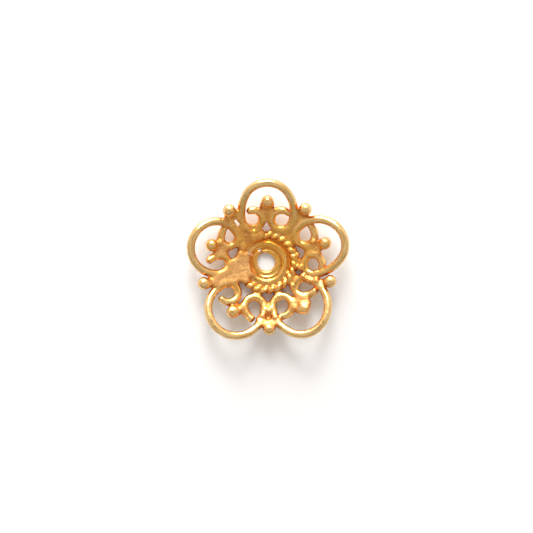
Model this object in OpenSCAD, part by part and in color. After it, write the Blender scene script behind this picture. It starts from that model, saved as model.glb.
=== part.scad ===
// Filigree bead cap of five looped petals round a wire hub, soldered into one piece.
// Z runs along the thread hole. The foot of the hub stands on z = 0 and the bowl opens upwards.
// The top petal points along +Y.

/* [Hub] */
// Diameter of the thread hole
bore_d = 1.5; // [1.2:0.05:1.8]
// Diameter of the plain wire of the two inner rings
ring_wire_d = 0.6; // [0.56:0.02:0.7]
// Diameter over both strands of the twisted wire ring
rope_d = 0.66; // [0.6:0.02:0.76]
// Depth of the groove between the two strands
rope_groove = 0.12; // [0.08:0.01:0.16]
// Full turns of the twist round the ring
rope_turns = 12; // [10:1:14]
// Gap between neighbouring rings, which the solder web fills
ring_gap = 0.09; // [0.06:0.01:0.12]
// Thickness of the solder web that joins the rings
web_t = 0.3; // [0.24:0.02:0.4]
// Depth that the bore is reamed into the inner ring
ream = 0.03; // [0.02:0.01:0.05]
// Depth filed off under the rings, which leaves the flat foot
foot_flat = 0.04; // [0.02:0.01:0.06]
// Width of the open joint of the inner ring
joint_w = 0.22; // [0.16:0.02:0.28]

/* [Petals] */
// Diameter of the petal wire
wire_d = 0.72; // [0.66:0.02:0.78]
// Radius of the sphere on which the wires lie
dome_r = 12; // [11:0.5:14]
// Depth of the dome's lowest point under the middle of the rings
dome_sink = 0.12; // [0.08:0.02:0.16]
// Radius of a petal's round crown
crown_r = 2.35; // [2.2:0.05:2.5]
// Radius of the scrolls at the foot of a petal
scroll_r = 0.85; // [0.8:0.01:0.9]
// Diameter of the same wire along the scrolls, where it is filed
scroll_wire_d = 0.69; // [0.64:0.01:0.7]
// Distance along the dome from the twisted ring to the wire of a scroll
scroll_seat = 0.77; // [0.72:0.01:0.82]

/* [Granules and solder] */
// Diameter of the granule inside each petal
petal_ball_d = 1.08; // [0.9:0.02:1.2]
// Diameter of the granule between two petals
valley_ball_d = 1.1; // [0.9:0.02:1.2]
// Height of the granules over the sphere of the wires
ball_lift = 0.08; // [0:0.02:0.16]
// Thickness of the solder that fills the corners
solder_t = 0.4; // [0.3:0.02:0.5]
// Height of the deep solder above the wires' centre lines
deep_t = 0.36; // [0.3:0.02:0.5]

/* [Hidden] */
gold = "goldenrod";
round_fn = 64;
// Facets of the fine wire work
wire_sides = 10;
crown_step = 13;
scroll_step = 19;
lap = 13;
petals = 5;
petal_turn = 133;

ring_z = ring_wire_d / 2 - foot_flat;
inner_ring_r = bore_d / 2 + ring_wire_d / 2 - ream;
outer_ring_r = inner_ring_r + ring_wire_d + ring_gap;
rope_r = outer_ring_r + ring_wire_d / 2 + ring_gap + rope_d / 2;
// Outer radius of the solder between the rings, inside the twisted wire
web_r = rope_r - rope_d / 7;
rope_sections = 9 * rope_turns;
rope_sides = 12;
dome_z = ring_z - dome_sink + dome_r;
rope_polar = asin(rope_r / dome_r);
rope_z = dome_z - dome_r * cos(rope_polar);
// Length of a petal along the dome, from the twisted ring to the top of its crown
petal_len = crown_r * (1 - cos(petal_turn)) + scroll_r * (1 + cos(petal_turn)) + scroll_seat;
inner_joint_angle = 119;

// One row a petal, anticlockwise from the top one.
// lean: degrees off its even place, reach: share of petal_len, crown: share of crown_r
LEAN = 0;
REACH = 1;
CROWN = 2;
petal_rows = [
    [ -1, 1.01, 0.87],
    [  0, 0.94, 0.95],
    [1.5, 1.01, 1.00],
    [  2, 1.03, 0.96],
    [1.5, 1.02, 0.87]
];
// One row a half petal: turn of the crown, then radius and turn of the flank, of the bend
// and of the curl, and the tip. The flank's radius is a share of crown_r, the bend's and the
// curl's of scroll_r, and the tip's width of scroll_wire_d.
left_rows = [
    [62.5, 1.65,  40, 1.05, 123, 0.99, 169, 0.5],
    [44,   1.08,  71, 0.93, 184, 2.14,  33, 1.0],
    [30,   1.11,  95, 1.01, 197, 2.22,  34, 1.0],
    [30,   1.14,  99, 0.92, 198, 2.13,  31, 0.9],
    [43.5, 1.15,  76, 1.02, 220, 1.60,  46, 0.8]
];
right_rows = [
    [53,   1.41,  56, 1.07, 200, 1.05, 104, 0.7],
    [59.5, 0.97,  73, 0.89, 214, 2.14,  33, 0.7],
    [63,   1.03,  64, 0.97, 177, 1.06,  73, 0.8],
    [61.5, 1.27,  58, 1.00, 160, 1.10, 120, 0.8],
    [53,   1.55,  48, 1.01, 132, 0.96, 178, 0.8]
];
// One row a granule: angle, place as a share of petal_len beyond the twisted ring
petal_ball_rows = [[89, 0.63], [161.5, 0.55], [235, 0.58], [309.5, 0.57], [19, 0.63]];
valley_ball_rows = [[54.5, 0.72], [125, 0.68], [197.5, 0.70], [272.5, 0.70], [344.5, 0.71]];
// One outline a solder fill, each corner an angle and a share of petal_len beyond the twisted
// ring. The deep fills bury what they cover.
deep_fills = [
    // the broad patch on the left, by the rings
    [[146, -0.03], [150, 0.08], [170, 0.01], [182, 0.17], [193, 0.34], [206, 0.36], [219, 0.05],
     [225, -0.03]],
    // the same patch, by the valley granule
    [[188, 0.25], [193, 0.32], [195.5, 0.62], [200.5, 0.71], [207, 0.42], [209, 0.27]],
    // the upper left valley
    [[125, 0.70], [117, 0.57], [119, 0.33], [114, 0.18], [99, 0.13], [96, 0.00], [93, -0.03],
     [150, -0.03], [152, 0.10], [138, 0.24], [133, 0.47], [134, 0.62]]
];
fills = [
    // the upper right valley
    [[54, 0.72], [61, 0.63], [59, 0.41], [62, 0.22], [80, 0.16], [86, 0.01], [80, -0.04], [30, -0.03],
     [33, 0.16], [46, 0.26], [48, 0.42], [47, 0.61]],
    // the right valley, by the lower petal
    [[346, 0.27], [348, 0.42], [341, 0.47], [336, 0.31]],
    // from there out to the valley granule
    [[337, 0.45], [343, 0.52], [346, 0.66], [341, 0.71], [335, 0.52]],
    // the bottom valley
    [[267, 0.23], [280, 0.24], [278, 0.64], [267, 0.63]],
    // between the rings and the scrolls, on the right and at the bottom
    [[-10, -0.04], [27, -0.04], [27, 0.09], [7, 0.09], [5, 0.19], [-14, 0.24]],
    [[315, -0.04], [336, -0.04], [336, 0.19], [318, 0.19]],
    [[243, -0.04], [262, -0.04], [258, 0.12], [249, 0.12]],
    [[284, -0.04], [300, -0.04], [294, 0.12], [287, 0.12]],
    // between the scrolls of each petal
    [[95, 0.56], [84, 0.57], [83, 0.23], [96, 0.23]],
    [[155, 0.49], [164, 0.49], [172, 0.38], [172, 0.23], [157, 0.23], [156, 0.37]],
    [[21, 0.21], [24, 0.33], [26, 0.50], [20, 0.57], [14, 0.53], [10, 0.47], [9, 0.30], [13, 0.22]],
    [[233, 0.52], [242, 0.35], [247, 0.49], [237, 0.63]],
    [[304, 0.32], [315, 0.35], [318, 0.48], [312, 0.60], [303, 0.52], [301, 0.42]]
];
// One row a stretch of the rings that lies under solder: its first and last angle, and how much
// of the second plain ring it hides, as a share of its width
covers = [[146, 224, 0.9], [93, 151, 0]];
// The slot left open in the upper left valley: its angle and the shares where it starts and ends
slot_row = [126, 0.34, 0.45];
slot_w = 0.2;
// Height of the covers' inner edge over the dome, and the width over which they rise from it
cover_edge = 0.25;
cover_slope = 0.2;

// Place on the plan at an angle and a share of petal_len beyond the twisted ring
function place(angle, share) =
    let (r = dome_r * sin(rope_polar + share * petal_len / dome_r * 180 / PI))
    [r * cos(angle), r * sin(angle)];

function height(at) = dome_z - sqrt(dome_r * dome_r - at * at);

function sum(list, i = 0) = i == len(list) ? 0 : list[i] + sum(list, i + 1);

// The vector v turned about the unit vector k
function turned(v, k, angle) =
    v * cos(angle) + cross(k, v) * sin(angle) + k * (k * v) * (1 - cos(angle));

// Stations along arcs laid on the dome, each arc tangent to the last. A station is the unit vector
// from the dome's centre and the one along the wire. An arc is [radius, turn, degrees a step], and
// side is 1 or -1, the way that the wire curls.
function stations(at, side, arcs, i = 0) =
    i == len(arcs) ? [] :
    let (
        polar = asin(arcs[i][0] / dome_r),
        centre = at[0] * cos(polar) + side * cross(at[1], at[0]) * sin(polar),
        k = -side * centre,
        steps = ceil(arcs[i][1] / arcs[i][2]),
        part = [
            for (j = [1 : steps])
                let (angle = arcs[i][1] * j / steps)
                [turned(at[0], k, angle), turned(at[1], k, angle)]
        ]
    )
    concat(part, stations(part[steps - 1], side, arcs, i + 1));

function backwards(list) = [for (i = [len(list) - 1 : -1 : 0]) [list[i][0], -list[i][1]]];

// Round wire of diameter d through the stations, drawn down to the share `tip` of it at the last one
module wire(list, d, tip = 1) {
    last = len(list) - 1;
    points = [
        for (i = [0 : last], j = [0 : wire_sides - 1])
            let (
                r = d / 2 * (i == last ? tip : i == last - 1 ? (1 + tip) / 2 : 1),
                about = j * 360 / wire_sides,
                across = cross(list[i][1], list[i][0])
            )
            dome_r * list[i][0] + r * (cos(about) * across + sin(about) * list[i][0])
    ];
    walls = [
        for (i = [0 : last - 1], j = [0 : wire_sides - 1])
            let (a = i * wire_sides, b = a + wire_sides, k = (j + 1) % wire_sides)
            each [[a + j, b + k, b + j], [a + j, a + k, b + k]]
    ];
    ends = [
        [for (j = [wire_sides - 1 : -1 : 0]) j],
        [for (j = [0 : wire_sides - 1]) last * wire_sides + j]
    ];
    translate([0, 0, dome_z])
        polyhedron(points, concat(walls, ends));
}

// One petal: its crown with both flanks, which run on a little into the bends, and a scroll from
// the foot of each flank
module petal(i) {
    row = petal_rows[i];
    angle = 90 + i * 360 / petals + row[LEAN];
    polar = rope_polar + row[REACH] * petal_len / dome_r * 180 / PI;
    top = [sin(polar) * cos(angle), sin(polar) * sin(angle), -cos(polar)];
    along = [-sin(angle), cos(angle), 0];
    halves = [[1, left_rows[i]], [-1, right_rows[i]]];
    flanks = [
        for (half = halves)
            stations([top, half[0] * along], half[0], [
                [crown_r * row[CROWN], half[1][0], crown_step],
                [crown_r * half[1][1], half[1][2], crown_step]
            ])
    ];
    feet = [for (flank = flanks) flank[len(flank) - 1]];
    lapped = [
        for (k = [0, 1])
            concat(flanks[k], stations(feet[k], halves[k][0], [[scroll_r * halves[k][1][3], lap, lap]]))
    ];
    wire(concat(backwards(lapped[0]), [[top, -along]], lapped[1]), wire_d);
    for (k = [0, 1])
        let (half = halves[k])
        wire(concat([feet[k]], stations(feet[k], half[0], [
            [scroll_r * half[1][3], half[1][4], scroll_step],
            [scroll_r * half[1][5], half[1][6], scroll_step]
        ])), scroll_wire_d, half[1][7]);
}

module plain_ring(r) {
    rotate_extrude($fn = round_fn)
        translate([r, ring_z])
            circle(d = ring_wire_d, $fn = round_fn);
}

module solder_web() {
    rotate_extrude($fn = round_fn)
        translate([inner_ring_r, ring_z - web_t / 2])
            square([web_r - inner_ring_r, web_t]);
}

// Two strands twisted together, as one closed surface swept round the ring
module rope_ring() {
    points = [
        for (i = [0 : rope_sections - 1], j = [0 : rope_sides - 1])
            let (
                around = i * 360 / rope_sections,
                about = j * 360 / rope_sides,
                twist = around * rope_turns,
                reach = rope_d / 2 - rope_groove * (1 - cos(2 * (about - twist))) / 2,
                r = rope_r + reach * cos(about)
            )
            [r * cos(around), r * sin(around), rope_z + reach * sin(about)]
    ];
    faces = [
        for (i = [0 : rope_sections - 1], j = [0 : rope_sides - 1])
            let (
                a = i * rope_sides,
                b = (i + 1) % rope_sections * rope_sides,
                k = (j + 1) % rope_sides
            )
            each [[a + j, a + k, b + k], [a + j, b + k, b + j]]
    ];
    polyhedron(points, faces);
}

module granule(row, d) {
    at = place(row[0], row[1]);
    // turned so that the sphere's seam lies on its free side, away from the solder
    translate([at.x, at.y, height(norm(at)) + ball_lift])
        rotate(row[0])
            sphere(d = d, $fn = round_fn);
}

// A flat fill of solder, laid on the dome at the middle of its outline
module fill(outline, above) {
    corners = [
        for (corner = outline)
            let (at = place(corner[0], corner[1]))
            [at.x, at.y, height(norm(at)) - dome_z]
    ];
    middle = [for (axis = [0 : 2]) sum([for (corner = corners) corner[axis]]) / len(corners)];
    out = middle / norm(middle);
    across = cross([0, 0, 1], out) / norm(cross([0, 0, 1], out));
    up = cross(out, across);
    multmatrix([
        [across.x, up.x, out.x, 0],
        [across.y, up.y, out.y, 0],
        [across.z, up.z, out.z, dome_z],
        [0, 0, 0, 1]
    ])
        translate([0, 0, norm(middle) - above])
            linear_extrude(above + solder_t / 2)
                polygon([for (corner = corners) [corner * across, corner * up]]);
}

// Solder that has run over the rings
module cover(row) {
    inner = rope_r - rope_d / 2 - ring_gap - row[2] * ring_wire_d;
    outer = rope_r + rope_d / 2;
    rotate(row[0])
        rotate_extrude(angle = row[1] - row[0], $fn = round_fn)
            polygon([
                [inner, ring_z],
                [inner, height(inner) + cover_edge],
                [inner + cover_slope, height(inner + cover_slope) + deep_t],
                [outer, height(outer) + deep_t],
                [outer, height(outer)],
                [web_r, ring_z]
            ]);
}

module solder() {
    for (outline = fills)
        fill(outline, solder_t / 2);
    difference() {
        for (outline = deep_fills)
            fill(outline, deep_t);
        // the slot
        rotate(slot_row[0])
            translate([norm(place(0, slot_row[1])), -slot_w / 2, 0])
                cube([norm(place(0, slot_row[2])) - norm(place(0, slot_row[1])), slot_w, dome_z]);
    }
    for (row = covers)
        cover(row);
}

// The inner two rings and the web between the rings, with the hole, the foot and the open joint
module hub() {
    difference() {
        union() {
            plain_ring(inner_ring_r);
            plain_ring(outer_ring_r);
            solder_web();
        }
        // the thread hole
        translate([0, 0, -ring_wire_d])
            cylinder(d = bore_d, h = 3 * ring_wire_d, $fn = round_fn);
        // the flat foot
        translate([0, 0, -ring_wire_d])
            cylinder(r = rope_r + rope_d, h = ring_wire_d, $fn = round_fn);
        // the open joint of the inner ring
        rotate(inner_joint_angle)
            translate([inner_ring_r - ring_wire_d / 6, -joint_w / 2, -ring_wire_d])
                cube([ring_wire_d / 2, joint_w, 3 * ring_wire_d]);
    }
}

// The twisted ring, the petals, the granules and the solder
module filigree() {
    rope_ring();
    for (i = [0 : petals - 1])
        petal(i);
    for (row = petal_ball_rows)
        granule(row, petal_ball_d);
    for (row = valley_ball_rows)
        granule(row, valley_ball_d);
    solder();
}

module bead_cap() {
    color(gold) {
        hub();
        filigree();
    }
}

bead_cap();
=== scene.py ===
"""Looks of the filigree bead cap: its soldered wirework as one fused body, the gold, floor and light.

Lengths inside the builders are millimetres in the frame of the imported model, and MM turns them
into metres. Angles in the tables are degrees, anticlockwise from +X about the thread hole's axis.
"""
import math

import bpy
import numpy as np
from mathutils import Matrix, Vector


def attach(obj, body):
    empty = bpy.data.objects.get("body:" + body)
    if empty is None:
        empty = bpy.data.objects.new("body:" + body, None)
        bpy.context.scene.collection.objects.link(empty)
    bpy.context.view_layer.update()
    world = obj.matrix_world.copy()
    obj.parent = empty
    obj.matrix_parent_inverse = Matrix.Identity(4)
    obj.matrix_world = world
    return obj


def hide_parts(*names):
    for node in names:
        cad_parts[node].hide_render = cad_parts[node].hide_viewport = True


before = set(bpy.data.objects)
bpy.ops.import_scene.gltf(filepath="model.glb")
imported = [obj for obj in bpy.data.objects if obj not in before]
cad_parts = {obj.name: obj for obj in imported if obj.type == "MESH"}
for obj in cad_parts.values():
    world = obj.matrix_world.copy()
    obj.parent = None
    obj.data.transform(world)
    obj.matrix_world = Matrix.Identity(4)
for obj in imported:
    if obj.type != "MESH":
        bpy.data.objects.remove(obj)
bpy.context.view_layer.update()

MM = 0.001

# Sizes of the cap, as in the part's source
BORE_D = 1.5
RING_WIRE_D = 0.6
ROPE_D = 0.66
ROPE_TURNS = 12
RING_GAP = 0.09
WEB_T = 0.3
REAM = 0.03
FOOT_FLAT = 0.04
WIRE_D = 0.72
DOME_R = 12.0
DOME_SINK = 0.12
CROWN_R = 2.35
SCROLL_R = 0.85
SCROLL_WIRE_D = 0.69
SCROLL_SEAT = 0.77
PETAL_BALL_D = 1.08
VALLEY_BALL_D = 1.1
BALL_LIFT = 0.08
SOLDER_T = 0.4
DEEP_T = 0.36
PETALS = 5
PETAL_TURN = math.radians(133)

RING_Z = RING_WIRE_D / 2 - FOOT_FLAT
INNER_RING_R = BORE_D / 2 + RING_WIRE_D / 2 - REAM
OUTER_RING_R = INNER_RING_R + RING_WIRE_D + RING_GAP
ROPE_R = OUTER_RING_R + RING_WIRE_D / 2 + RING_GAP + ROPE_D / 2
DOME_Z = RING_Z - DOME_SINK + DOME_R
ROPE_POLAR = math.asin(ROPE_R / DOME_R)
PETAL_LEN = CROWN_R * (1 - math.cos(PETAL_TURN)) + SCROLL_R * (1 + math.cos(PETAL_TURN)) + SCROLL_SEAT

# One row a petal, anticlockwise from the top one: lean in degrees off its even place, reach as a
# share of PETAL_LEN, crown as a share of CROWN_R
PETAL_ROWS = [
    (-1, 1.01, 0.87),
    (0, 0.94, 0.95),
    (1.5, 1.01, 1.00),
    (2, 1.03, 0.96),
    (1.5, 1.02, 0.87),
]
# One row a half petal: turn of the crown, then radius and turn of the flank, of the bend and of
# the curl, and the tip. Radii are shares of CROWN_R and then of SCROLL_R, the tip's of the wire.
# The curls and tips of the first and fourth left halves differ a little from the source's.
LEFT_ROWS = [
    (62.5, 1.65, 40, 1.05, 123, 0.99, 158, 0.95),
    (44, 1.08, 71, 0.93, 184, 2.14, 33, 1.0),
    (30, 1.11, 95, 1.01, 197, 2.22, 34, 1.0),
    (30, 1.14, 99, 0.92, 198, 2.13, 38, 1.0),
    (43.5, 1.15, 76, 1.02, 220, 1.60, 46, 0.8),
]
RIGHT_ROWS = [
    (53, 1.41, 56, 1.07, 200, 1.05, 104, 0.7),
    (59.5, 0.97, 73, 0.89, 214, 2.14, 33, 0.7),
    (63, 1.03, 64, 0.97, 177, 1.06, 73, 0.8),
    (61.5, 1.27, 58, 1.00, 160, 1.10, 120, 0.8),
    (53, 1.55, 48, 1.01, 132, 0.96, 178, 0.8),
]
# One row a granule: angle, place as a share of PETAL_LEN beyond the twisted ring
PETAL_BALLS = [(89, 0.63), (161.5, 0.55), (235, 0.58), (309.5, 0.57), (19, 0.63)]
VALLEY_BALLS = [(54.5, 0.72), (125, 0.68), (197.5, 0.70), (272.5, 0.70), (344.5, 0.71)]

# The rings in the middle, which show thinner than their solids and wander. One row a place: its
# angle, distance from the axis and the wire's radius there
INNER_RING = [(122, 1.13, 0.22), (150, 1.07, 0.21), (187, 0.965, 0.2), (476, 0.965, 0.2)]
OUTER_RING = [
    (200, 1.71, 0.26), (330, 1.7, 0.27), (370, 1.65, 0.24), (425, 1.64, 0.24), (470, 1.7, 0.28),
    (509, 1.77, 0.28),
]
# The outer ring's last points stand up by its cut end: how many, and by how much from one to the next
END_POINTS = 6
END_RISE = 0.02
# The short third turn between the rings, and how far it stands above them
RING_TAIL = [(240, 1.28, 0.1), (256, 1.32, 0.14), (315, 1.32, 0.14), (336, 1.28, 0.1)]
TAIL_LIFT = 0.09

# The twisted ring: where its strands start, their radius and their distance from its middle as
# shares of ROPE_D, how much fuller they are on top, and their straight pieces to a twist
ROPE_START = -42
STRAND_R = 0.27
STRAND_OFFSET = 0.25
STRAND_FULLER = 0.3
TWIST_STEPS = 20
# How far it stands above the source's, and how far it sinks where the solder has run over it
ROPE_LIFT = 0.04
ROPE_SUNK = 0.2

# One row a solder fill: its depth above the wires' centre lines as a share of the deep fills'
# depth, and its corners, each an angle and a share of PETAL_LEN beyond the twisted ring
FILLS = [
    # the broad patch on the left, from the rings to the valley granule
    (1.05, [
        (152, -0.15), (165, -0.18), (185, -0.2), (205, -0.2), (224, -0.17), (222, -0.02), (214, 0.14),
        (207, 0.36), (201, 0.68), (196, 0.62), (192, 0.34), (180, 0.17), (170, 0.06), (160, 0.02),
        (152, 0.0),
    ]),
    # the upper left valley
    (1.05, [
        (125, 0.68), (118, 0.57), (119, 0.33), (114, 0.18), (99, 0.13), (95, 0.0), (93, -0.06),
        (110, -0.09), (130, -0.09), (150, -0.07), (157, -0.05), (154, 0.02), (150, 0.11), (138, 0.24),
        (133, 0.47), (133, 0.6),
    ]),
    # the upper right valley
    (0.5, [
        (54, 0.72), (61, 0.63), (59, 0.41), (62, 0.22), (80, 0.16), (86, 0.01), (80, 0.0), (55, 0.02),
        (30, 0.0), (33, 0.16), (46, 0.26), (48, 0.42), (47, 0.61),
    ]),
    # the right valley, by the lower petal, and from there out to the granule
    (0.5, [(346, 0.27), (348, 0.42), (341, 0.47), (336, 0.31)]),
    (0.5, [(337, 0.45), (343, 0.52), (346, 0.66), (341, 0.71), (335, 0.52)]),
    # the bottom valley
    (0.5, [(267, 0.23), (280, 0.24), (278, 0.64), (267, 0.63)]),
    (0.9, [(260.5, 0.52), (283, 0.52), (281, 0.65), (262.5, 0.65)]),
    # between the rings and the scrolls, on the right and at the bottom
    (0.5, [(-10, 0.0), (27, 0.0), (27, 0.09), (7, 0.09), (5, 0.19), (-14, 0.24)]),
    (0.5, [(315, 0.0), (336, 0.0), (336, 0.19), (318, 0.19)]),
    (0.4, [(243, 0.0), (262, 0.0), (258, 0.12), (249, 0.12)]),
    (0.4, [(284, 0.0), (300, 0.0), (294, 0.12), (287, 0.12)]),
    # between the scrolls of each petal
    (0.85, [(95.5, 0.58), (83.5, 0.58), (81, 0.23), (98, 0.23)]),
    (0.85, [(154, 0.47), (165, 0.5), (173, 0.38), (173, 0.23), (157, 0.23), (154, 0.35)]),
    (0.85, [
        (21, 0.21), (24, 0.33), (26, 0.50), (20, 0.57), (14, 0.53), (10, 0.47), (9, 0.30), (13, 0.22),
    ]),
    (0.85, [(232, 0.48), (241, 0.36), (246, 0.48), (238, 0.64)]),
    (1.0, [(302, 0.30), (316, 0.32), (321, 0.46), (318, 0.58), (311, 0.62), (302, 0.55), (299, 0.42)]),
]
# One row a lump where solder has run together: angle, share, radius, height over the dome
LUMPS = [
    # the right valley
    (352, 0.12, 0.3, 0.16), (340, 0.2, 0.26, 0.2), (338, 0.33, 0.3, 0.22), (341, 0.45, 0.26, 0.2),
    # the bottom valley
    (273, 0.36, 0.26, 0.2), (266, 0.47, 0.27, 0.17), (279, 0.5, 0.28, 0.19),
    # by the granules inside the petals
    (25, 0.44, 0.28, 0.22), (156, 0.42, 0.28, 0.16), (237.5, 0.53, 0.4, 0.1),
    (240.5, 0.46, 0.36, 0.12), (311, 0.49, 0.4, 0.13),
    # by the twisted ring
    (318, 0.12, 0.25, 0.1), (14, 0.08, 0.22, 0.1),
]
# Solder between the second ring and the twisted one, rows as for the rings, and its lift
RING_SOLDER = [(212, 2.02, 0.14), (235, 2.0, 0.17), (310, 2.0, 0.17), (332, 2.0, 0.14)]
RING_SOLDER_LIFT = 0.03

# One row a slot left open: angle, first and last distance from the axis, width, and the height of
# its floor, which is below the cap where the slot goes through
SLOTS = [
    (126, 4.08, 4.66, 0.24, -1),
    (116, 0.7, 1.1, 0.14, 0.3),
    (90, 2.95, 3.52, 0.2, -1),
    (94.5, 2.85, 3.08, 0.24, -1),
    (85, 2.85, 3.08, 0.26, -1),
]
# One row a pit: angle, distance from the axis, radius, height of its middle over the dome
PITS = [(272, 4.66, 0.26, 0.34), (110, 3.2, 0.3, 0.56)]
# The crevice between the inner ring and the broad patch, rows as for the rings, and its height
CREVICE = [(146, 1.31, 0.04), (158, 1.31, 0.13), (200, 1.29, 0.13), (222, 1.3, 0.04)]
CREVICE_Z = 0.5
# How far the worn thread hole opens out, and towards which angle
HOLE_WORN = 0.12
HOLE_WORN_AT = 125

# The fused body's grid: its corners and cells, and up to which distance surfaces are worked out
GRID_LOW = (-7.25, -6.9, -0.15)
GRID_HIGH = (7.55, 7.75, 3.1)
CELL = 0.07
REACH = 0.5
# How far metal draws up into the corner where two bodies meet: solder, wires that touch, and the
# rims of pits and of the crevice. SOLDER_ROUND rounds the edges of the fills.
SOLDER_DRAW = 0.28
SOLDER_ROUND = 0.42
TOUCH_DRAW = 0.06
PIT_DRAW = 0.12
CREVICE_DRAW = 0.05
# Rounding on the rim of a cut wire end, and how the wire's last bit narrows towards a tip
CUT_RIM = 0.05
TIP_TAPER = 0.6
# Degrees of turn between the points of crowns and flanks, of scrolls and of rings
FLANK_STEP = 5
SCROLL_STEP = 8
RING_STEP = 4

# Angles where something holds: the middle, how far it holds to either side, and the fade beyond
ROPE_BURIED = (162, 40, 20)
UPPER_LEFT_ROUGH = (112, 18, 18)
BROAD_PATCH_SMOOTH = (190, 22, 22)
UPPER_LEFT_STAINED = (112, 16.8, 14)
BROAD_PATCH_PEACH = (190, 18, 36)
LOWER_SOLDER_ROSY = (290, 35, 50)

# Unevenness and stains, one row a noise: its strength, the size of its bumps and its seed
WAVY_METAL = [(0.007, 0.6, 3), (0.004, 0.25, 4)]
LUMPY_SOLDER = [(0.022, 0.55, 5), (0.016, 0.35, 6), (0.01, 0.2, 7)]
STAIN_CLOUDS = [(1.4, 0.7, 11), (0.8, 0.3, 12)]
STAIN_BASE = 0.3

# The deep orange bands between the rings: deeper plating and painted shade in the grooves, and from 62 to
# 96 degrees painted shade over a highlight on the outer ring. One row a place: angle, distance from the
# axis, strength
GROOVE_TINT_AND_SHADE_IN = [
    (0, 1.36, 0.5), (50, 1.3, 0.45), (110, 1.24, 0.5), (150, 1.36, 0.5), (240, 1.3, 0.45),
    (255, 1.3, 0), (325, 1.3, 0), (345, 1.36, 0.45), (360, 1.36, 0.5),
]
GROOVE_TINT_AND_SHADE_OUT = [
    (0, 1.95, 0.5), (40, 1.95, 0.5), (62, 1.88, 0.65), (96, 1.88, 0.65), (118, 2.14, 0.5),
    (155, 2.18, 0.45), (165, 2.2, 0), (325, 2.0, 0), (345, 1.97, 0.4), (360, 1.95, 0.5),
]
GROOVE_TINT_AND_SHADE_HALF_W = 0.11
# One row a pale spot painted by a cut end for the light that shows there: angle, distance from the axis,
# its half length away from the axis and its half width
PAINTED_LIGHT_SPOTS = [(118.5, 1.19, 0.17, 0.085), (151.5, 1.64, 0.2, 0.07)]
PAINTED_LIGHT_SPOT_FADE = 1.6

# How often the body's points are drawn onto its surface, the distance over which solder gives way
# to wire, and how far out a point looks for metal near by and further off
SETTLE_ROUNDS = 3
SOLDER_FADE = 0.2
NEAR_LOOK = 0.18
FAR_LOOK = 0.4
# The hub's orange ends at HUB_TINT_R and fades in over HUB_TINT_FADE. It is weaker on the -Y side,
# in full from SOUTH_Y on.
HUB_TINT_R = 6.0
HUB_TINT_FADE = 2.8
SOUTH_Y = 3
SOUTH_LESS = 0.45
# The foot and the hole's wall stay smooth: points this low, or this near to the hole's edge
SMOOTH_Z = 0.01
SMOOTH_EDGE = 0.02

# The steps from a cell's low corner to each of its corners
CORNERS = [(i, j, k) for i in (0, 1) for j in (0, 1) for k in (0, 1)]
# Entries of the noise's table along each side, and a shift that keeps places in it above zero
NOISE_SIZE = 32
NOISE_SHIFT = 64
TINY = 1e-6


def direction(angle):
    """Cosine and sine of an angle in degrees."""
    return math.cos(math.radians(angle)), math.sin(math.radians(angle))


def seen_along(angle, x, y):
    """Distances from the axis towards an angle, and square to that."""
    c, s = direction(angle)
    return x * c + y * s, y * c - x * s


def around_angle(angle, middle, reach, fade):
    """1 at angles within reach of the middle, falling to 0 over the fade beyond."""
    return np.clip(1 + (reach - np.abs(angle - middle)) / fade, 0, 1)


def place(angle, share):
    """Point on the plan at an angle and a share of PETAL_LEN beyond the twisted ring."""
    r = DOME_R * math.sin(ROPE_POLAR + share * PETAL_LEN / DOME_R)
    c, s = direction(angle)
    return r * c, r * s


def height(r):
    """Height of the wires' dome at a distance from the axis."""
    return DOME_Z - np.sqrt(DOME_R**2 - r**2)


def over_dome(angle, share, lift):
    """Point above its place on the plan, by the lift over the wires' dome."""
    x, y = place(angle, share)
    return x, y, height(math.hypot(x, y)) + lift


def turned(v, k, angle):
    """The vector v turned about the unit vector k."""
    return v * math.cos(angle) + np.cross(k, v) * math.sin(angle) + k * np.dot(k, v) * (1 - math.cos(angle))


def stations(at, side, arcs, step):
    """Stations (direction from the dome's centre, direction along) on arcs that follow each other."""
    out = []
    for radius, turn in arcs:
        polar = math.asin(radius / DOME_R)
        centre = at[0] * math.cos(polar) + side * np.cross(at[1], at[0]) * math.sin(polar)
        k = -side * centre
        steps = math.ceil(turn / step)
        angles = [math.radians(turn) * j / steps for j in range(1, steps + 1)]
        out += [(turned(at[0], k, a), turned(at[1], k, a)) for a in angles]
        at = out[-1]
    return out


class Grid:
    """The cells over the whole cap, with fields of distances to a surface, negative inside."""

    def __init__(self, low, high, cell):
        self.low = np.array(low, float)
        self.cell = cell
        self.shape = tuple(int(n) for n in np.ceil((np.array(high) - self.low) / cell) + 1)
        self.axes = [self.low[i] + cell * np.arange(self.shape[i]) for i in range(3)]

    def new(self):
        """A field with nothing in it."""
        return np.full(self.shape, REACH, np.float32)

    def places(self, cut=(slice(None),) * 3):
        """x, y and z over the grid or over a cut of it, each along its own axis."""
        return [self.axes[i][cut[i]].reshape([-1 if j == i else 1 for j in range(3)]) for i in range(3)]

    def window(self, low, high):
        """The cut of the grid within reach of a box, and its x, y and z."""
        first = np.floor((np.array(low) - REACH - self.low) / self.cell).astype(int)
        last = np.ceil((np.array(high) + REACH - self.low) / self.cell).astype(int) + 1
        ends = zip(np.clip(first, 0, self.shape), np.clip(last, 0, self.shape))
        cut = tuple(slice(a, b) for a, b in ends)
        return cut, self.places(cut)


def put_ball(grid, field, centre, radius):
    """Add a ball to the field."""
    cut, (x, y, z) = grid.window(np.array(centre) - radius, np.array(centre) + radius)
    d = np.sqrt((x - centre[0]) ** 2 + (y - centre[1]) ** 2 + (z - centre[2]) ** 2) - radius
    field[cut] = np.minimum(field[cut], d)


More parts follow.
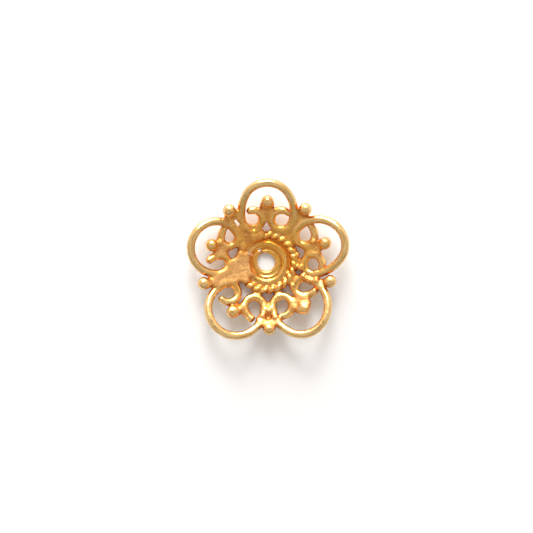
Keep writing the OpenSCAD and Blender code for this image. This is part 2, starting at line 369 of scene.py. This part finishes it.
def put_tube(grid, field, points, radii, cut_ends=(False, False)):
    """Add round wire through the points. A cut end is flat, with a slightly rounded rim."""
    last = len(points) - 2
    for i in range(last + 1):
        a, b, ra, rb = points[i], points[i + 1], radii[i], radii[i + 1]
        big = max(ra, rb)
        cut, (x, y, z) = grid.window(np.minimum(a, b) - big, np.maximum(a, b) + big)
        ab = b - a
        length = np.linalg.norm(ab)
        u = ab / length
        px, py, pz = x - a[0], y - a[1], z - a[2]
        along = px * u[0] + py * u[1] + pz * u[2]
        t = np.clip(along / length, 0, 1)
        off = along - t * length
        across = np.sqrt(np.maximum(px**2 + py**2 + pz**2 - along**2, 0))
        radius = ra + t * (rb - ra)
        d = np.sqrt(across**2 + off**2) - radius
        for end, beyond in ((cut_ends[0] and i == 0, -off), (cut_ends[1] and i == last, off)):
            if end:
                side = across - radius + CUT_RIM
                face = beyond + CUT_RIM
                flat = np.minimum(np.maximum(side, face), 0) - CUT_RIM
                flat = flat + np.sqrt(np.maximum(side, 0) ** 2 + np.maximum(face, 0) ** 2)
                d = np.where(beyond > 0, flat, d)
        field[cut] = np.minimum(field[cut], d)


def drawn_union(a, b, draw):
    """Both bodies, with the corner between them filled over about the width draw."""
    h = np.maximum(draw - np.abs(a - b), 0) / draw
    return np.minimum(a, b) - h * h * draw / 4


def cut_out(whole, body, draw):
    """The whole without the body, with the rim rounded over about the width draw."""
    return -drawn_union(-whole, body, draw)


def outline_distance(grid, corners):
    """Distance on the plan to a polygon, negative inside, over the grid's x and y."""
    x = grid.axes[0][:, None]
    y = grid.axes[1][None, :]
    best = np.full((len(grid.axes[0]), len(grid.axes[1])), np.inf)
    inside = np.zeros(best.shape, bool)
    for (ax, ay), (bx, by) in zip(corners, corners[1:] + corners[:1]):
        ex, ey = bx - ax, by - ay
        t = np.clip(((x - ax) * ex + (y - ay) * ey) / (ex * ex + ey * ey), 0, 1)
        best = np.minimum(best, (x - ax - t * ex) ** 2 + (y - ay - t * ey) ** 2)
        crosses = (ay > y) != (by > y)
        inside ^= crosses & (x < ex * (y - ay) / (ey or TINY) + ax)
    return np.where(inside, -1, 1) * np.sqrt(best)


def petal_wire(i):
    """Centre line and radii of one petal's wire, from the tip of one scroll to the other."""
    lean, reach, crown = PETAL_ROWS[i]
    c, s = direction(90 + i * 360 / PETALS + lean)
    polar = ROPE_POLAR + reach * PETAL_LEN / DOME_R
    top = np.array([math.sin(polar) * c, math.sin(polar) * s, -math.cos(polar)])
    along = np.array([-s, c, 0])
    halves = []
    for side, row in ((1, LEFT_ROWS[i]), (-1, RIGHT_ROWS[i])):
        crown_turn, flank_r, flank_turn, bend_r, bend_turn, curl_r, curl_turn, tip = row
        arcs = [(CROWN_R * crown, crown_turn), (CROWN_R * flank_r, flank_turn)]
        flank = stations((top, side * along), side, arcs, FLANK_STEP)
        arcs = [(SCROLL_R * bend_r, bend_turn), (SCROLL_R * curl_r, curl_turn)]
        scroll = stations(flank[-1], side, arcs, SCROLL_STEP)
        points = [DOME_R * out + (0, 0, DOME_Z) for out, _ in flank + scroll]
        steps = [np.linalg.norm(p - q) for p, q in zip(points[::-1], points[-2::-1])]
        to_tip = np.cumsum([0] + steps)[::-1]
        taper = np.clip(to_tip / WIRE_D, 0, 1) ** TIP_TAPER
        radii = np.where(np.arange(len(points)) < len(flank), WIRE_D / 2, SCROLL_WIRE_D / 2)
        halves.append((points, radii * (tip + (1 - tip) * taper)))
    (left, left_r), (right, right_r) = halves
    middle = DOME_R * top + (0, 0, DOME_Z)
    return left[::-1] + [middle] + right, list(left_r[::-1]) + [WIRE_D / 2] + list(right_r)


def ring_line(rows, z):
    """Centre line and radii of a wire round the axis. A row is an angle, a distance and a radius."""
    at, far, radius = np.array(rows, float).T
    angles = np.linspace(at[0], at[-1], math.ceil((at[-1] - at[0]) / RING_STEP) + 1)
    away = np.interp(angles, at, far)
    turns = np.radians(angles)
    points = np.stack([away * np.cos(turns), away * np.sin(turns), 0 * turns + z], 1)
    return list(points), np.interp(angles, at, radius)


def rope_strands():
    """Centre lines and radii of the two strands of the twisted ring, fuller where they come up."""
    offset = ROPE_D * STRAND_OFFSET
    rope_z = height(ROPE_R) + ROPE_LIFT
    strands = []
    for phase in (ROPE_START, ROPE_START + 180):
        points, radii = [], []
        for angle in np.linspace(0, 360, ROPE_TURNS * TWIST_STEPS + 1):
            out, up = direction(angle * ROPE_TURNS + phase)
            c, s = direction(angle)
            r = ROPE_R + offset * out
            z = rope_z - ROPE_SUNK * around_angle(angle, *ROPE_BURIED) + offset * up
            points.append(np.array([r * c, r * s, z]))
            radii.append(ROPE_D * STRAND_R * (1 + STRAND_FULLER * max(0, up)))
        strands.append((points, radii))
    return strands


def wire_field(grid):
    """The petals' wires."""
    wires = grid.new()
    for i in range(PETALS):
        put_tube(grid, wires, *petal_wire(i), cut_ends=(True, True))
    return wires


def ball_field(grid):
    """The granules."""
    balls = grid.new()
    for rows, d in ((PETAL_BALLS, PETAL_BALL_D), (VALLEY_BALLS, VALLEY_BALL_D)):
        for angle, share in rows:
            put_ball(grid, balls, over_dome(angle, share, BALL_LIFT), d / 2)
    return balls


def ring_field(grid):
    """The two plain rings and the short third turn."""
    rings = grid.new()
    put_tube(grid, rings, *ring_line(INNER_RING, RING_Z), cut_ends=(True, True))
    points, radii = ring_line(OUTER_RING, RING_Z)
    for i in range(1, END_POINTS + 1):
        points[-i][2] += END_RISE * (END_POINTS + 1 - i)
    put_tube(grid, rings, points, radii, cut_ends=(False, True))
    put_tube(grid, rings, *ring_line(RING_TAIL, RING_Z + TAIL_LIFT))
    return rings


def rope_field(grid):
    """The twisted ring."""
    rope = grid.new()
    for points, radii in rope_strands():
        put_tube(grid, rope, points, radii)
    return rope


def solder_field(grid):
    """The fills, the lumps and the solder along the twisted ring."""
    x, y, z = grid.places()
    from_dome = np.sqrt(x**2 + y**2 + (z - DOME_Z) ** 2) - DOME_R
    solder = grid.new()
    for share, corners in FILLS:
        edge = outline_distance(grid, [place(*corner) for corner in corners])[:, :, None]
        shell = np.maximum(from_dome - SOLDER_T / 2, -DEEP_T * share - from_dome)
        # the outline is widened by about what the rounding takes off
        fill = cut_out(edge - SOLDER_ROUND / 5, -shell, SOLDER_ROUND)
        solder = np.minimum(solder, fill)
    for angle, share, radius, lift in LUMPS:
        put_ball(grid, solder, over_dome(angle, share, lift), radius)
    put_tube(grid, solder, *ring_line(RING_SOLDER, RING_Z + RING_SOLDER_LIFT))
    return solder.astype(np.float32)


def opened(grid, whole):
    """The cap with its slots, pits and crevice, the worn thread hole and the flat foot."""
    x, y, z = grid.places()
    for angle, first, last, width, floor in SLOTS:
        u, v = seen_along(angle, x, y)
        slot = np.maximum(np.maximum(np.maximum(first - u, u - last), np.abs(v) - width / 2), floor - z)
        whole = cut_out(whole, slot, TOUCH_DRAW)
    for angle, far, radius, lift in PITS:
        u, v = seen_along(angle, x, y)
        pit = np.sqrt((u - far) ** 2 + v**2 + (z - height(far) - lift) ** 2) - radius
        whole = cut_out(whole, pit, PIT_DRAW)
    crevice = grid.new()
    put_tube(grid, crevice, *ring_line(CREVICE, CREVICE_Z))
    whole = cut_out(whole, crevice, CREVICE_DRAW)
    away = np.sqrt(x**2 + y**2)
    towards_worn = seen_along(HOLE_WORN_AT, x, y)[0] / (away + TINY)
    hole_r = BORE_D / 2 + HOLE_WORN * np.clip(towards_worn, 0, 1) ** 2
    return np.maximum(np.maximum(whole, hole_r - away), -z)


def cap_fields():
    """The grid, the distance field of the whole cap, and those of its drawn metal and of its solder."""
    grid = Grid(GRID_LOW, GRID_HIGH, CELL)
    x, y, z = grid.places()
    wires, balls, rings = wire_field(grid), ball_field(grid), ring_field(grid)
    rope, solder = rope_field(grid), solder_field(grid)
    away = np.sqrt(x**2 + y**2)
    web = np.maximum(np.abs(z - RING_Z) - WEB_T / 2, np.maximum(INNER_RING_R - away, away - ROPE_R))
    whole = np.minimum(rings, web)
    for body, draw in ((rope, TOUCH_DRAW), (wires, TOUCH_DRAW), (balls, TOUCH_DRAW), (solder, SOLDER_DRAW)):
        whole = drawn_union(whole, body, draw)
    drawn_metal = np.minimum(wires, np.minimum(balls, np.minimum(rings, rope)))
    return grid, opened(grid, whole), drawn_metal, solder


def blended(table, base, part):
    """Values between the table's entries: base is the entry below, part how far on to the next."""
    total = 0
    for corner in CORNERS:
        weight = np.where(corner, part, 1 - part).prod(axis=1)
        total = total + weight * table[tuple(((base + corner) % table.shape).T)]
    return total


def noise(points, wave, seed):
    """Smooth noise from about -1 to 1 with bumps of about the size wave, at an array of points."""
    random = np.random.default_rng(seed)
    table = random.uniform(-1, 1, (NOISE_SIZE,) * 3).astype(np.float32)
    turn = np.linalg.qr(random.normal(size=(3, 3)))[0]
    q = points @ turn / wave + NOISE_SHIFT
    base = np.floor(q).astype(int)
    part = q - base
    return blended(table, base, part * part * (3 - 2 * part))


def noises(points, rows):
    """Sum of noises, one row a noise: its strength, the size of its bumps and its seed."""
    return sum(strength * noise(points, wave, seed) for strength, wave, seed in rows)


def sample(grid, field, points):
    """The field at any points, by linear steps between the grid's."""
    # the last cell's far side is left out, where there is no entry to step on to
    q = np.clip((points - grid.low) / grid.cell, 0, np.array(grid.shape) - 1.001)
    base = np.floor(q).astype(int)
    return blended(field, base, q - base)


def slope(grid, field, points, step):
    """Unit vectors in which the field grows at the points."""
    out = np.empty_like(points)
    for i, shift in enumerate(step * np.eye(3)):
        out[:, i] = sample(grid, field, points + shift) - sample(grid, field, points - shift)
    return out / np.maximum(np.linalg.norm(out, axis=1, keepdims=True), TINY)


def skin_points(grid, field, active):
    """One point in each active cell, in the middle of where its edges cross the surface."""
    total = np.zeros((len(active), 3))
    hits = np.zeros(len(active))
    for axis in range(3):
        for corner in CORNERS:
            if corner[axis]:
                continue
            start = np.array(corner)
            end = start.copy()
            end[axis] = 1
            f0 = field[tuple((active + start).T)]
            f1 = field[tuple((active + end).T)]
            cross = (f0 < 0) != (f1 < 0)
            t = np.where(cross, f0 / np.where(cross, f0 - f1, 1), 0)
            total += (start + t[:, None] * (end - start)) * cross[:, None]
            hits += cross
    return grid.low + grid.cell * (active + total / hits[:, None])


def skin(grid, field):
    """Points and four-cornered faces of the surface where the field is zero."""
    inside = field < 0
    nx, ny, nz = (n - 1 for n in grid.shape)
    count = sum(inside[i : nx + i, j : ny + j, k : nz + k].astype(np.int8) for i, j, k in CORNERS)
    active = np.argwhere((count > 0) & (count < len(CORNERS)))
    index = np.full((nx, ny, nz), -1, np.int64)
    index[tuple(active.T)] = np.arange(len(active))
    faces = []
    for axis in range(3):
        b, c = (axis + 1) % 3, (axis + 2) % 3
        low = [slice(None)] * 3
        high = [slice(None)] * 3
        low[axis], high[axis] = slice(0, -1), slice(1, None)
        at = np.argwhere(inside[tuple(low)] != inside[tuple(high)])
        for side in (b, c):
            at = at[(at[:, side] > 0) & (at[:, side] < grid.shape[side] - 1)]
        corners = []
        for db, dc in ((-1, -1), (0, -1), (0, 0), (-1, 0)):
            cell = at.copy()
            cell[:, b] += db
            cell[:, c] += dc
            corners.append(index[tuple(cell.T)])
        quads = np.stack(corners, 1)
        leaving = inside[tuple(at.T)]
        quads[~leaving] = quads[~leaving][:, ::-1]
        faces.append(quads)
    return skin_points(grid, field, active), np.concatenate(faces)


def new_mesh(name, points, faces):
    """A smooth piece with the points in millimetres and the four-cornered faces."""
    mesh = bpy.data.meshes.new(name)
    mesh.vertices.add(len(points))
    mesh.vertices.foreach_set("co", (points * MM).astype(np.float32).ravel())
    mesh.loops.add(faces.size)
    mesh.loops.foreach_set("vertex_index", faces.astype(np.int32).ravel())
    mesh.polygons.add(len(faces))
    mesh.polygons.foreach_set("loop_start", np.arange(0, faces.size, 4, dtype=np.int32))
    mesh.polygons.foreach_set("use_smooth", np.ones(len(faces), bool))
    mesh.update(calc_edges=True)
    mesh.validate()
    piece = bpy.data.objects.new(name, mesh)
    bpy.context.scene.collection.objects.link(piece)
    return piece


# How many points are worked on at once, and how far apart the wires' lengths start, so that each
# has streaks of its own
RUN_CHUNK = 8000
RUN_SHIFT = 20


def runs(points):
    """How far along its wire and how far round it each point lies, for the streaks of drawn wire."""
    away = np.hypot(points[:, 0], points[:, 1])
    along = np.arctan2(points[:, 1], points[:, 0]) * 2
    around = away + 0.5 * points[:, 2]
    # the square of the distance to the nearest petal wire so far, which the hub's points never pass
    nearest = np.where(away < ROPE_R, 0.0, 1.0)
    for i in range(PETALS):
        line = np.array(petal_wire(i)[0])
        steps = np.gradient(line, axis=0)
        ahead = steps / np.linalg.norm(steps, axis=1, keepdims=True)
        out = line - (0, 0, DOME_Z)
        out /= np.linalg.norm(out, axis=1, keepdims=True)
        across = np.cross(ahead, out)
        run = np.cumsum([0, *np.linalg.norm(np.diff(line, axis=0), axis=1)]) + RUN_SHIFT * i
        for start in range(0, len(points), RUN_CHUNK):
            part = slice(start, start + RUN_CHUNK)
            gap = points[part][:, None, :] - line[None]
            far = (gap**2).sum(axis=2)
            at = far.argmin(axis=1)
            rows = np.arange(len(at))
            off = gap[rows, at]
            near = far[rows, at] < nearest[part]
            turn = np.arctan2((off * across[at]).sum(axis=1), -(off * out[at]).sum(axis=1))
            along[part] = np.where(near, run[at] + (off * ahead[at]).sum(axis=1), along[part])
            around[part] = np.where(near, turn * WIRE_D / 2, around[part])
            nearest[part] = np.where(near, far[rows, at], nearest[part])
    return along, around


def groove_tint_and_shade_values(angle, away, soldered):
    """How much each place lies in the solder between the rings, for its deeper orange plating and painted
    shade.
    """
    groove_tint_and_shade = 0 * away
    for rows in (GROOVE_TINT_AND_SHADE_IN, GROOVE_TINT_AND_SHADE_OUT):
        at, far, strength = np.array(rows, float).T
        off = (away - np.interp(angle, at, far)) / GROOVE_TINT_AND_SHADE_HALF_W
        here = np.exp(-(off**2)) * np.interp(angle, at, strength)
        groove_tint_and_shade = np.maximum(groove_tint_and_shade, here * (2 - soldered))
    return groove_tint_and_shade


def painted_light_spot_values(points):
    """How much of the painted light spots lies at each place."""
    bare = 0 * points[:, 0]
    for angle, far, long, wide in PAINTED_LIGHT_SPOTS:
        u, v = seen_along(angle, points[:, 0], points[:, 1])
        bare = np.maximum(bare, np.clip(PAINTED_LIGHT_SPOT_FADE - np.hypot((u - far) / long, v / wide), 0, 1))
    return bare


def build_cap():
    """The whole cap as one fused body, with the values at its points that the gold needs."""
    grid, whole, drawn_metal, solder = cap_fields()
    points, faces = skin(grid, whole)
    for _ in range(SETTLE_ROUNDS):
        points -= sample(grid, whole, points)[:, None] * slope(grid, whole, points, grid.cell / 2)
    normals = slope(grid, whole, points, grid.cell / 2)
    angle = np.degrees(np.arctan2(points[:, 1], points[:, 0])) % 360
    away = np.hypot(points[:, 0], points[:, 1])

    solder_ahead = sample(grid, solder, points) - sample(grid, drawn_metal, points)
    soldered = np.clip(0.5 - solder_ahead / SOLDER_FADE, 0, 1)
    near, far = (sample(grid, whole, points + normals * look) / look for look in (NEAR_LOOK, FAR_LOOK))
    stained = soldered * around_angle(angle, *UPPER_LEFT_STAINED)
    stained *= np.clip(STAIN_BASE + noises(points, STAIN_CLOUDS), 0, 1)
    along, around = runs(points)

    rugged = 1 + around_angle(angle, *UPPER_LEFT_ROUGH) - 0.5 * around_angle(angle, *BROAD_PATCH_SMOOTH)
    uneven = noises(points, WAVY_METAL) + soldered * rugged * noises(points, LUMPY_SOLDER)
    free = (points[:, 2] > SMOOTH_Z) & (away > BORE_D / 2 + HOLE_WORN + SMOOTH_EDGE)
    placed = points + normals * (free * uneven)[:, None]

    south = np.clip(-placed[:, 1] / SOUTH_Y, 0, 1)
    hub_tint = np.clip((HUB_TINT_R - away) / HUB_TINT_FADE, 0, 1)
    values = {
        "soldered": soldered,
        # how far metal near by shuts each place in, for the hollows' deeper plating and painted shade
        "hollow_tint_and_shade": np.clip(1 - 0.5 * near - 0.5 * far, 0, 1),
        # painted shade: 1 where the surface stands upright, for the darker orange of the steep sides
        "side": 1 - np.abs(normals[:, 2]),
        "near_hub": hub_tint * (1 - SOUTH_LESS * south),
        "stained": stained,
        # deeper plating and painted shade in the grooves between the rings
        "groove_tint_and_shade": groove_tint_and_shade_values(angle, away, soldered),
        # painted light spots by the rings' cut ends
        "painted_light_spot": painted_light_spot_values(points),
        "along": along,
        "around": around,
        "peach": soldered * around_angle(angle, *BROAD_PATCH_PEACH),
        "rosy": soldered * around_angle(angle, *LOWER_SOLDER_ROSY),
    }
    piece = new_mesh("soldered_filigree", placed, faces)
    for name, numbers in values.items():
        attribute = piece.data.attributes.new(name, "FLOAT", "POINT")
        attribute.data.foreach_set("value", numbers.astype(np.float32))
    return piece


def node(tree, kind, inputs=None, **settings):
    """A shader node with its settings, and its inputs by name or number: values, or sockets to link."""
    made = tree.nodes.new(kind)
    for key, value in settings.items():
        setattr(made, key, value)
    for key, value in (inputs or {}).items():
        if isinstance(value, bpy.types.NodeSocket):
            tree.links.new(value, made.inputs[key])
        else:
            made.inputs[key].default_value = value
    return made


def mix(tree, amount, a, b):
    """The colours a and b mixed by amount, each a colour or a socket."""
    ends = [end if isinstance(end, bpy.types.NodeSocket) else (*end, 1) for end in (a, b)]
    return node(tree, "ShaderNodeMix", {0: amount, 6: ends[0], 7: ends[1]}, data_type="RGBA").outputs[2]


def spread(tree, value, low, high, to_low=0.0, to_high=1.0):
    """The value's range from low to high spread over the range from to_low to to_high."""
    return node(tree, "ShaderNodeMapRange", {0: value, 1: low, 2: high, 3: to_low, 4: to_high}).outputs[0]


def combined(tree, operation, a, b):
    """Two values added, subtracted or multiplied."""
    return node(tree, "ShaderNodeMath", {0: a, 1: b}, operation=operation).outputs[0]


# The gold's colours: the two that the plain plate drifts between, and those laid over it
PLATE_DEEP = (0.86, 0.55, 0.21)
PLATE_PALE = (0.94, 0.66, 0.29)
HUB_ORANGE = (1.0, 0.475, 0.04)
MOTTLED = (0.78, 0.40, 0.08)
SOLDER_ORANGE = (0.84, 0.40, 0.06)
PEACH = (0.86, 0.465, 0.18)
ROSY = (0.72, 0.32, 0.11)
STREAK_DEEP = (0.66, 0.38, 0.10)
STREAK_PALE = (1.0, 0.80, 0.44)
STAIN = (0.62, 0.24, 0.05)
SPECK_DEEP = (0.56, 0.27, 0.05)
SPECK_PALE = (1.0, 0.74, 0.36)
# painted shade: the wires' steep sides, darkened to orange as if they faced shaded floor
SIDE_SHADE = (0.66, 0.28, 0.035)
# deeper orange plating in the hollows, with painted shade: darker where metal near by shuts a place in
HOLLOW_TINT_AND_SHADE = (0.60, 0.21, 0.025)
# deeper orange plating and painted shade in the grooves between the rings
GROOVE_TINT_AND_SHADE = (0.92, 0.28, 0.01)
# painted light: pale metal where light shows by the rings' cut ends
PAINTED_LIGHT_SPOT_PALE = (1.0, 0.86, 0.76)
# Scales of the gold's noises, to the metre, and of the streaks round and along the wire, to the mm
BROAD_SCALE = 900
MIDDLE_SCALE = 3200
FINE_SCALE = 7500
STREAKS_ROUND = 5.5
STREAKS_ALONG = 0.5
COAT = 0.5
COAT_ROUGHNESS = 0.2
SOLDER_ROUGHER = 0.22
GRAIN_STRENGTH = 0.7
GRAIN_HEIGHT = 0.00005


def gold():
    """Satin gold plate: pale where it is rubbed, deeper orange with painted shade in the hollows and
    grooves, painted shade on steep sides and painted light spots by two cut ends, matt and grainy on
    solder.
    """
    material = bpy.data.materials.new("gold")
    material.use_nodes = True
    tree = material.node_tree
    shader = tree.nodes["Principled BSDF"]
    where = node(tree, "ShaderNodeTexCoord").outputs["Object"]

    def cloud(scale, detail):
        inputs = {"Vector": where, "Scale": scale, "Detail": detail, "Roughness": 0.55}
        return node(tree, "ShaderNodeTexNoise", inputs).outputs["Fac"]

    def value(name):
        return node(tree, "ShaderNodeAttribute", attribute_name=name).outputs["Fac"]

    def times(a, b):
        return combined(tree, "MULTIPLY", a, b)

    soldered = value("soldered")
    bare = combined(tree, "SUBTRACT", 1.0, soldered)
    broad, middle, fine = cloud(BROAD_SCALE, 2), cloud(MIDDLE_SCALE, 3), cloud(FINE_SCALE, 3)
    # streaks along the drawn wire, where no solder has run over it
    unrolled = {0: times(value("around"), STREAKS_ROUND), 1: times(value("along"), STREAKS_ALONG)}
    unrolled = node(tree, "ShaderNodeCombineXYZ", unrolled).outputs[0]
    streak = {"Vector": unrolled, "Scale": 1.0, "Detail": 2.0}
    streak = node(tree, "ShaderNodeTexNoise", streak).outputs["Fac"]
    specks = combined(tree, "ADD", times(soldered, 0.7), 0.3)

    # one row a colour, laid over those before it: how much of it shows
    tone = mix(tree, spread(tree, broad, 0.38, 0.62), PLATE_DEEP, PLATE_PALE)
    for amount, colour in (
        (spread(tree, value("near_hub"), 0, 1, 0, 0.9), HUB_ORANGE),
        (spread(tree, middle, 0.45, 0.75, 0, 0.5), MOTTLED),
        (times(soldered, 0.6), SOLDER_ORANGE),
        (times(value("peach"), 0.8), PEACH),
        (times(value("rosy"), 0.85), ROSY),
        (times(bare, spread(tree, streak, 0.5, 0.7, 0, 0.55)), STREAK_DEEP),
        (times(bare, spread(tree, streak, 0.48, 0.3, 0, 0.45)), STREAK_PALE),
        (times(value("stained"), 0.75), STAIN),
        (times(specks, spread(tree, fine, 0.5, 0.68, 0, 0.75)), SPECK_DEEP),
        (times(specks, spread(tree, fine, 0.46, 0.32, 0, 0.6)), SPECK_PALE),
        # painted shade on the steep sides
        (spread(tree, value("side"), 0.4, 1.0, 0, 0.85), SIDE_SHADE),
        # deeper plating and painted shade in the hollows
        (spread(tree, value("hollow_tint_and_shade"), 0.06, 0.5), HOLLOW_TINT_AND_SHADE),
        # deeper plating and painted shade in the grooves between the rings
        (value("groove_tint_and_shade"), GROOVE_TINT_AND_SHADE),
        # painted light spots by the rings' cut ends
        (value("painted_light_spot"), PAINTED_LIGHT_SPOT_PALE),
    ):
        tone = mix(tree, amount, tone, colour)
    tree.links.new(tone, shader.inputs["Base Color"])

    shader.inputs["Metallic"].default_value = 1.0
    shader.inputs["Coat Weight"].default_value = COAT
    shader.inputs["Coat Roughness"].default_value = COAT_ROUGHNESS
    rough = spread(tree, middle, 0.3, 0.7, 0.2, 0.32)
    rough = combined(tree, "ADD", rough, times(soldered, SOLDER_ROUGHER))
    tree.links.new(rough, shader.inputs["Roughness"])
    # fine grain, most of it on solder, broader waves, and grooves along the bare wire
    grain = times(fine, combined(tree, "ADD", soldered, 0.3))
    grain = combined(tree, "ADD", grain, times(middle, 0.8))
    grain = combined(tree, "SUBTRACT", grain, times(times(bare, streak), 0.6))
    bump = {"Strength": GRAIN_STRENGTH, "Distance": GRAIN_HEIGHT, "Height": grain}
    tree.links.new(node(tree, "ShaderNodeBump", bump).outputs[0], shader.inputs["Normal"])
    return material


def paper():
    """White matt paper."""
    material = bpy.data.materials.new("paper")
    material.use_nodes = True
    shader = material.node_tree.nodes["Principled BSDF"]
    shader.inputs["Base Color"].default_value = (0.86, 0.86, 0.865, 1)
    shader.inputs["Roughness"].default_value = 0.8
    shader.inputs["Specular IOR Level"].default_value = 0.2
    return material


# The camera's place: its tilt off the thread hole's axis towards +Y, its distance and lens, and
# where the middle of the hub shows in the 533 x 533 picture. Clipping distances are metres.
CAMERA_TILT = math.radians(5)
CAMERA_DISTANCE = 128.0
CLIP_START = 0.001
CLIP_END = 10
SENSOR = 36.0
PICTURE = 533
PIXELS_PER_MM = 11.4
HUB_PIXEL = (266.4, 262.0)


def add_camera():
    """The camera at the photograph's angle."""
    towards = Vector((0, math.sin(CAMERA_TILT), math.cos(CAMERA_TILT)))
    right = Vector((1, 0, 0))
    up = towards.cross(right)
    aside, above = PICTURE / 2 - HUB_PIXEL[0], HUB_PIXEL[1] - PICTURE / 2
    aim = right * aside / PIXELS_PER_MM + up * above / PIXELS_PER_MM
    data = bpy.data.cameras.new("camera")
    data.sensor_width = SENSOR
    data.lens = SENSOR * CAMERA_DISTANCE / (PICTURE / PIXELS_PER_MM)
    data.clip_start = CLIP_START
    data.clip_end = CLIP_END
    camera = bpy.data.objects.new("camera", data)
    bpy.context.scene.collection.objects.link(camera)
    turn = Matrix((right, up, towards)).transposed().to_4x4()
    camera.matrix_world = Matrix.Translation((aim + towards * CAMERA_DISTANCE) * MM) @ turn
    bpy.context.scene.camera = camera


# One row a light: name, direction (degrees round from +X and up), width in metres and watts
LIGHTS = [
    ("low", 96, 16, 0.24, 1.45),
    ("high", 91, 41, 0.12, 0.38),
]
LIGHT_DISTANCE = 0.3
LIGHT_COLOUR = (0.97, 0.99, 1.0)


def add_light(name, around, up, width, watts):
    """A soft round light that faces the cap."""
    data = bpy.data.lights.new(name, "AREA")
    data.shape = "DISK"
    data.size = width
    data.energy = watts
    data.color = LIGHT_COLOUR
    light = bpy.data.objects.new(name, data)
    bpy.context.scene.collection.objects.link(light)
    (c, s), (level, rise) = direction(around), direction(up)
    out = Vector((level * c, level * s, rise))
    light.location = out * LIGHT_DISTANCE
    light.rotation_euler = out.to_track_quat("Z", "Y").to_euler()


# The tent: its colour, its sides' strength towards -Y and +Y and its top's, the y and z of a unit
# vector between which each changes, and what is left of it in the opening for the lens, whose rim
# is given as cosines off its middle
TENT_COLOUR = (1.0, 0.94, 0.88, 1)
TENT_SIDES = (0.42, 1.25)
TENT_SIDES_Y = (-0.6, 0.9)
TENT_TOP = 0.76
TENT_TOP_Z = (0.5, 0.92)
OPENING_LEFT = 0.25
OPENING_RIM = (0.955, 0.985)


def add_world():
    """A warm tent all round, brighter low down on the +Y side, with a dark opening for the lens."""
    world = bpy.data.worlds.new("tent")
    bpy.context.scene.world = world
    world.use_nodes = True
    tree = world.node_tree
    background = tree.nodes["Background"]
    where = node(tree, "ShaderNodeTexCoord").outputs["Generated"]
    _, y, z = node(tree, "ShaderNodeSeparateXYZ", {0: where}).outputs
    high = spread(tree, z, *TENT_TOP_Z)
    sides = spread(tree, y, *TENT_SIDES_Y, *TENT_SIDES)
    sides = combined(tree, "MULTIPLY", sides, combined(tree, "SUBTRACT", 1.0, high))
    tent = combined(tree, "ADD", combined(tree, "MULTIPLY", high, TENT_TOP), sides)
    lens = (0, math.sin(CAMERA_TILT), math.cos(CAMERA_TILT))
    towards = node(tree, "ShaderNodeVectorMath", {0: where, 1: lens}, operation="DOT_PRODUCT")
    opening = spread(tree, towards.outputs["Value"], *OPENING_RIM, 1.0, OPENING_LEFT)
    tree.links.new(combined(tree, "MULTIPLY", tent, opening), background.inputs["Strength"])
    background.inputs["Color"].default_value = TENT_COLOUR


# The floor's half width and how far it lies below the cap's foot, in metres
FLOOR_HALF = 0.4
FLOOR_DROP = 0.00001


def add_floor():
    """The sheet of paper that the cap lies on."""
    mesh = bpy.data.meshes.new("floor")
    ends = ((-1, -1), (1, -1), (1, 1), (-1, 1))
    corners = [(x * FLOOR_HALF, y * FLOOR_HALF, -FLOOR_DROP) for x, y in ends]
    mesh.from_pydata(corners, [], [(0, 1, 2, 3)])
    floor = bpy.data.objects.new("floor", mesh)
    bpy.context.scene.collection.objects.link(floor)
    floor.data.materials.append(paper())


add_camera()
for row in LIGHTS:
    add_light(*row)
add_world()
add_floor()

cap = build_cap()
cap.data.materials.append(gold())
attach(cap, "root")
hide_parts("bead_cap")

view = bpy.context.scene.view_settings
view.view_transform = "Standard"
view.exposure = 0.0
